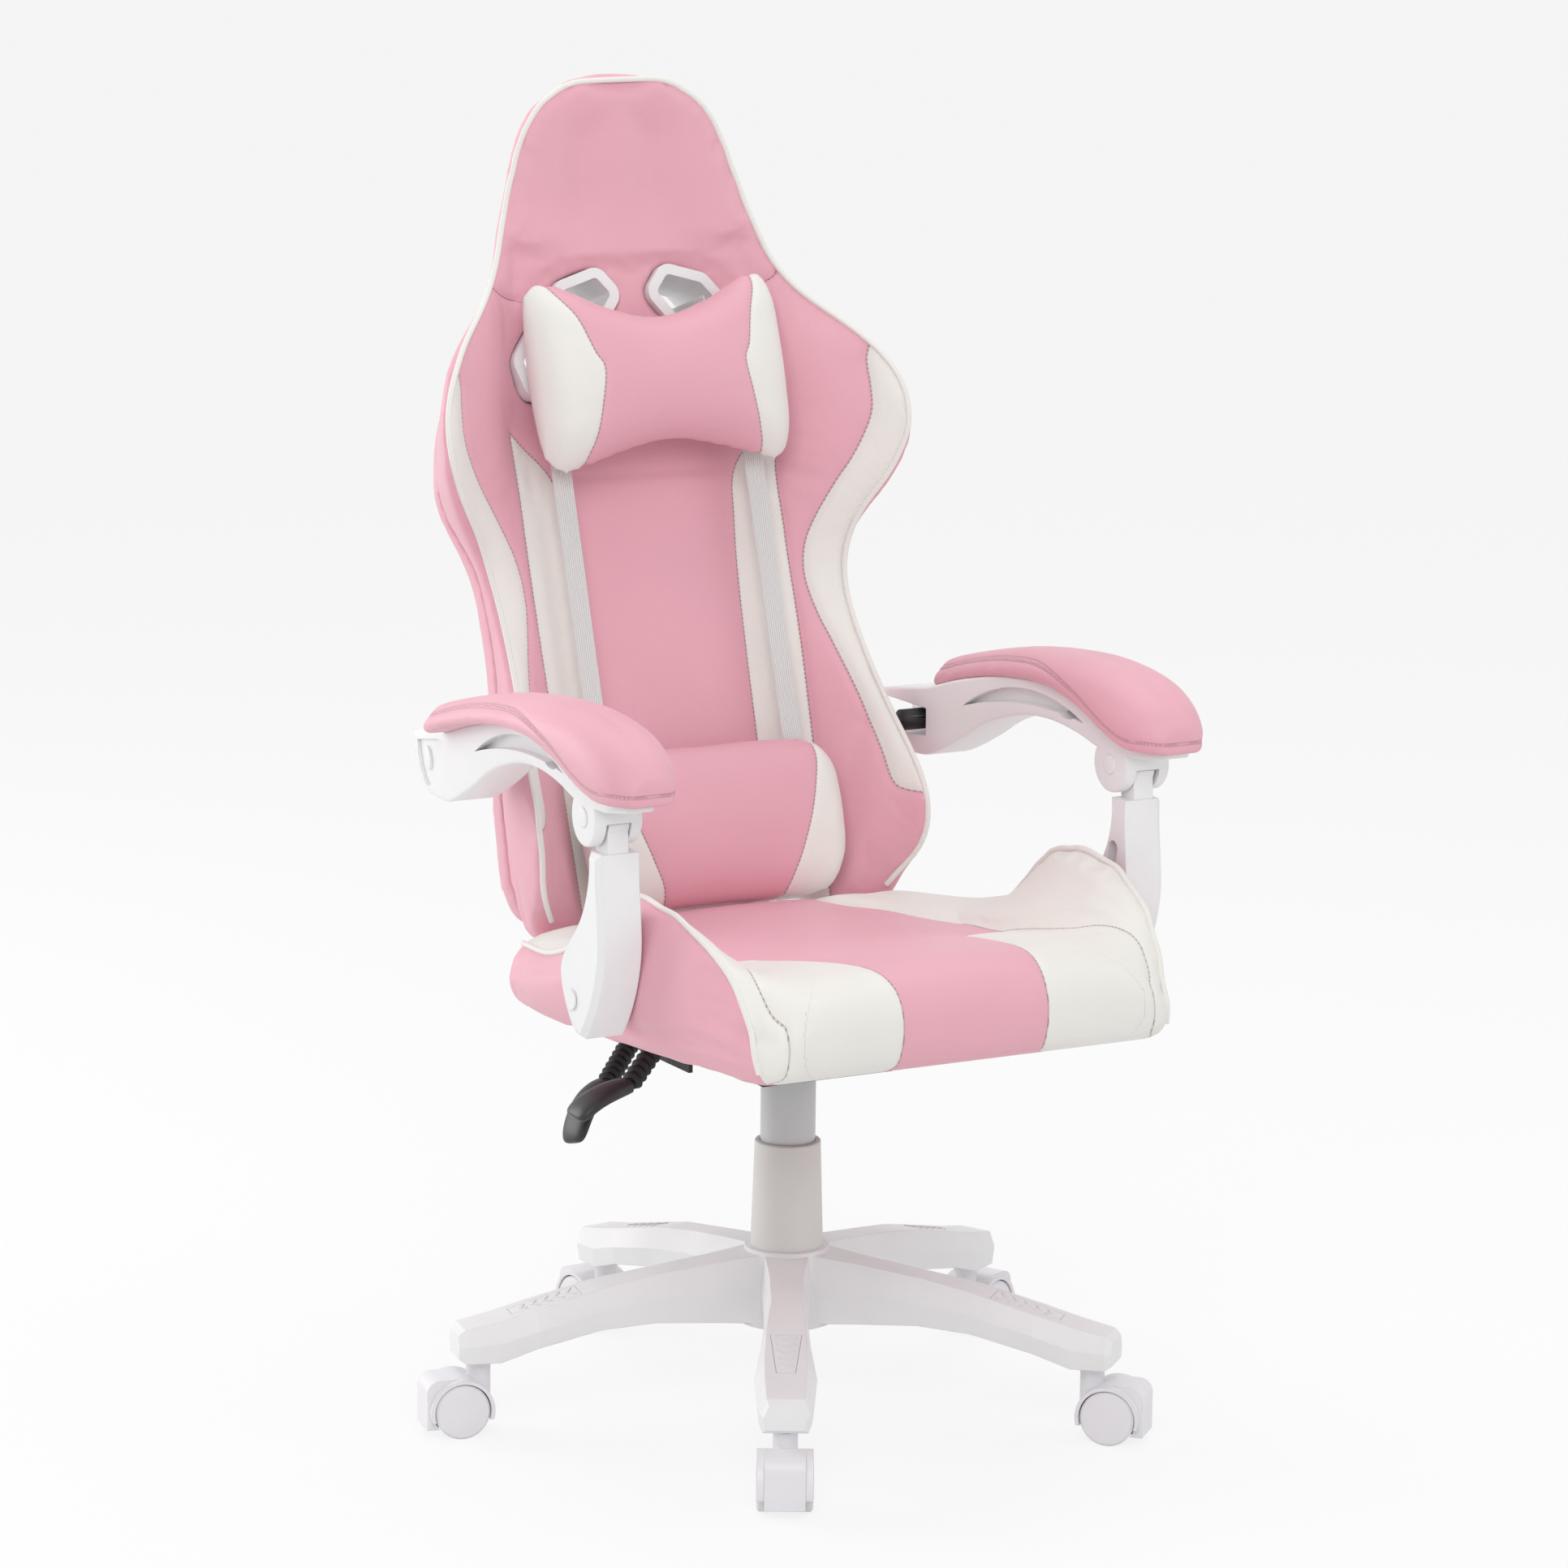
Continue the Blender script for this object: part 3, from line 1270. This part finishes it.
# %% Upper arms
half = arm_half_width
beyond = half + 5
boss_root, boss_stop = 4, 0.4
cavity_outer = 13
pin_radius, pin_stand = 9, 1.6
window = oval(elbow + (70, 33), 11, 3.2, radians(4))
tail_boss = oval(rear_pin + (30, 0), 11, 6, radians(70))
knuckle_slot = disc(elbow, knuckle_room)
knuckle_way = from_elbow(
    (-knuckle_room, 0), (knuckle_room, 0), (knuckle_room + 14, -60), (-knuckle_room - 24, -60))
for side, word in ((1, "left"), (-1, "right")):
    arm = arm_block(f"upper_arm_moulding_{word}", arm_outline, -half, half, side)
    soft_edges(arm, 3.0)
    cut(arm, side, lens, half - lens_depth, beyond)
    cut(arm, side, lens, -beyond, lens_depth - half)
    cut(arm, side, window, -beyond, beyond)
    cut(arm, side, tail_pocket, half - pocket_depth, beyond)
    join_on(arm, side, tail_boss, half - pocket_depth - boss_root, half - boss_stop, 1.0)
    cut(arm, side, rear_cavity, -beyond, cavity_outer)
    join_on(arm, side, disc(elbow, barrel_radius), -half, half, 2.5)
    cut(arm, side, knuckle_slot, -knuckle_half_width, knuckle_half_width)
    cut(arm, side, knuckle_way, -knuckle_half_width, knuckle_half_width)
    join_on(arm, side, disc(elbow, pin_radius, 32), -half - pin_stand, half + pin_stand, 1.2)
    shape_arm(arm, side)
    blocky(arm)
    dress(arm, finishes["white_plastic"], f"upper_arm_{word}", "white_plastic", f"upper_arm_{word}",
          f"elbow_pin_{word}")

# %% [markdown]
# ## Arm pads
# A pad is a strip of foam in leather, thick at the front and flat at the rear, with two rows of stitching
# along its lower edge.

# %% Arm pads
pad_stations = [
    # behind the elbow, top height over the elbow, half width
    (312, 36, 24), (298, 46, 29), (240, 61, 33), (170, 76, 36), (90, 85, 38), (30, 86, 39), (-25, 79, 38),
    (-62, 63, 33), (-84, 44, 20),
]
pad_cell = 4 * MM
pad_swell = 3 * MM
pad_rows = (15.0, 18.5)
pad_under_normal, pad_side_normal = -0.3, 0.85
top_y = [p[0] - elbow[0] for p in reversed(arm_top)]
top_z = [p[1] - elbow[1] for p in reversed(arm_top)]


def pad_ring(row, middle_x):
    """One section of a pad, which rests on the arm's top line."""
    behind, top, half = row
    base = np.interp(behind, top_y, top_z) - 1
    foot, edge = (half - 4, base), (half - 3, top - 12)
    section = straight((0, base), foot, 5) + arc(foot, (half + 1, (base + top - 12) / 2), edge, 6)
    section += arc(edge, (half * 0.62, top - 2.4), (0, top), 8)
    return [((middle_x + x) * MM, (elbow[0] + behind) * MM, (elbow[1] + z) * MM)
            for x, z in mirrored_ring(section, (0, top))]


for side, word in ((1, "left"), (-1, "right")):
    pad = skin(f"arm_pad_cover_{word}", [pad_ring(row, side * arm_mid_x) for row in rounded(pad_stations, 4)])
    remesh(pad, pad_cell)
    smooth(pad, 4)
    puff(pad, normals_of(pad)[:, 2] < pad_under_normal, pad_swell)
    subdivide(pad)
    behind = points_of(pad)[:, 1] / MM - elbow[0]
    height = points_of(pad)[:, 2] / MM - elbow[1] - np.interp(behind, top_y, top_z)
    upright = np.abs(normals_of(pad)[:, 2]) < pad_side_normal
    row_height = np.interp(behind, (-40, 120), (0.55, 1.0))
    rows = np.stack([height - row * row_height for row in pad_rows], 1)
    nearest = rows[np.arange(len(rows)), np.argmin(np.abs(rows), 1)]
    no_white = np.full(len(rows), -float(far_off))
    sew(pad, (no_white, np.where(upright, nearest, far_off), behind), 0.7, 2.0)
    dress(pad, pad_leather, f"upper_arm_{word}", "pink_leather", f"arm_pad_{word}")

# %% [markdown]
# ## Levers
# Each lever's steel rod wears a pleated rubber sleeve and a moulded paddle that droops at its end. A pleat
# is a ring whose radius swells and shrinks, and the paddle is a flat oval that follows a bent line.

# %% Sleeves and paddles
paddle_shape = [
    # share of the length, width, thickness
    (0, 17, 13), (0.1, 21, 15), (0.3, 29, 15), (0.55, 34, 13.5), (0.8, 36, 12), (0.92, 34, 10),
    (0.98, 28, 7.5), (1, 20, 5),
]
sleeve_pleats = 9
pleat_steps = 8
pleat_waist, pleat_swell = 14.0, 5.5
sleeve_share = 0.97
levers = [
    # name, start of the sleeve, root of the paddle, then its bend and tip, counted from the root
    ("lift_lever", (-123, -1.7, 368.3), (-180, -34, 328.4), (-34, 1, -4), (-54, 2, -24)),
    ("recline_lever", (-123, 62.1, 349.5), (-168, 34, 312), (-30, -8, -6), (-43, -20, -44)),
]


def ring_round(middle, ahead, wide, width, thickness, count=28, power=0.75):
    """A rounded oval across a direction, with its width along another."""
    ahead = Vector(ahead).normalized()
    wide = (Vector(wide) - ahead * ahead.dot(Vector(wide))).normalized()
    high = ahead.cross(wide)
    ring = []
    for i in range(count):
        u, v = cos(tau * i / count), sin(tau * i / count)
        u, v = np.sign(u) * abs(u) ** power, np.sign(v) * abs(v) ** power
        ring.append(tuple((Vector(middle) + wide * (u * width / 2) + high * (v * thickness / 2)) * MM))
    return ring


for name, start, root, bend, tip in levers:
    start, root, bend, tip = (np.array(p, float) for p in (start, root, bend, tip))
    rings = []
    for step in range(sleeve_pleats * pleat_steps + 1):
        breadth = pleat_waist + pleat_swell * (0.5 - 0.5 * cos(tau * step / pleat_steps))
        place = start + (root - start) * (step / (sleeve_pleats * pleat_steps)) * sleeve_share
        rings.append(ring_round(place, root - start, (0, 1, 0), breadth, breadth, power=1.0))
    sleeve = skin(f"{name}_sleeve", rings)
    blocky(sleeve, 60)
    dress(sleeve, finishes["black_rubber"], name, "black_rubber", f"{name}_bellows")
    rings = []
    for share, width, thickness in rounded(paddle_shape, 4):
        share = min(max(share, 0), 1)
        place = root + 2 * share * (1 - share) * bend + share ** 2 * tip
        ahead = (1 - share) * bend + share * (tip - bend)
        rings.append(ring_round(place, ahead, (0, 1, 0), width, thickness))
    paddle = skin(f"{name}_grip", rings)
    blocky(paddle, 50)
    dress(paddle, finishes["black_plastic"], name, "black_plastic", f"{name}_paddle")
